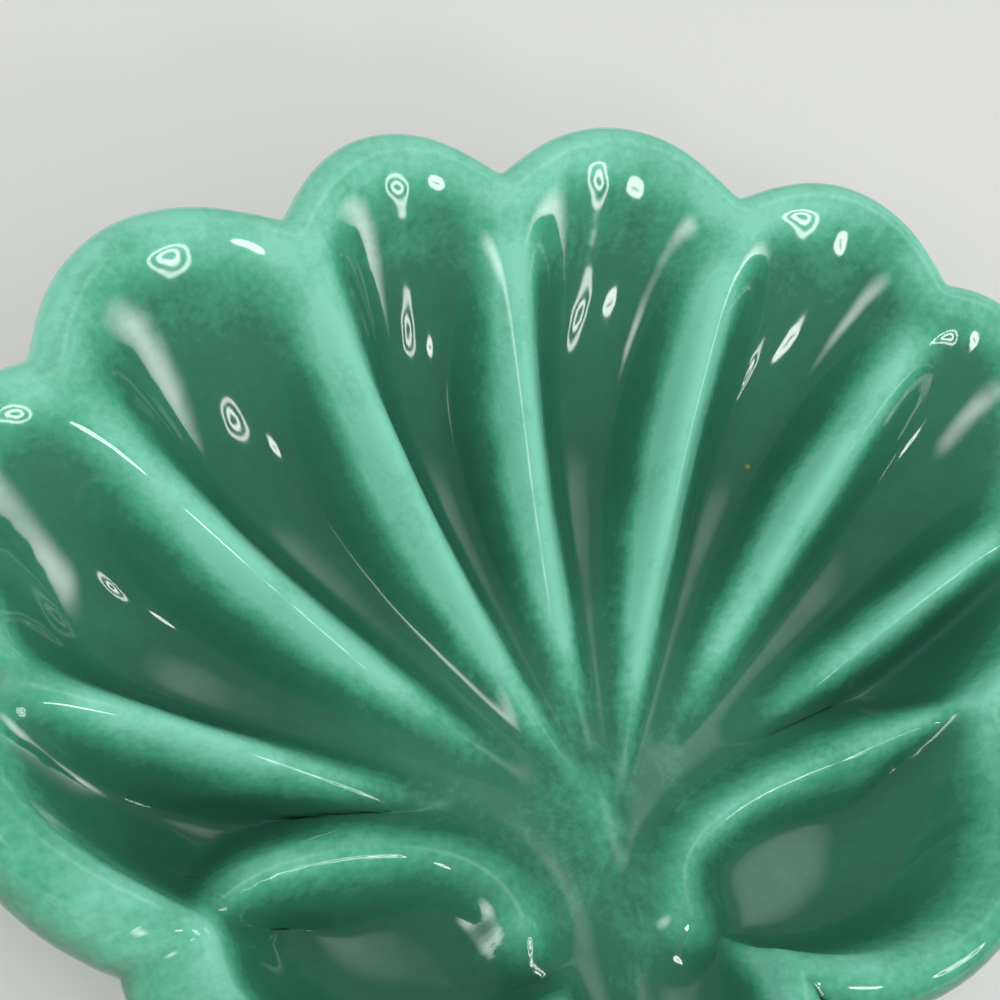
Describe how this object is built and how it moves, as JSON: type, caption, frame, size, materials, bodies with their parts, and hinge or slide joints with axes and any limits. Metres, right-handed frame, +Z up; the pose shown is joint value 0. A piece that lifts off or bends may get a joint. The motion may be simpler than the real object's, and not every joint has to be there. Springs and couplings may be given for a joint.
{
  "type": "trinket dish",
  "caption": "Scallop-shell trinket dish in green-glazed earthenware: deep fanned flutes, closed ear pockets beside the hinge, a rolled scalloped rim and an oval foot ring. Holds small things.",
  "frame": {"origin": "on the table plane under the foot ring, at the middle of the dish's outline seen from above", "axes": "+X across the shell to the right, +Y from the hinge towards the fan of flutes, +Z up out of the bowl"},
  "size_m": [0.157, 0.1338, 0.0438],
  "materials": {
    "bare_earthenware": "fired earthenware, unglazed and wiped clean at the foot ring",
    "green_glaze": "glossy translucent green glaze, pale where it is thin on crests and lip, dark where it pools",
    "well_glaze": "the same green glaze in the well inside the foot ring"
  },
  "bodies": {
    "root": {"clay_body": "bare_earthenware", "glaze_coat": "green_glaze", "foot_well_glaze": "well_glaze"}
  },
  "joints": []
}
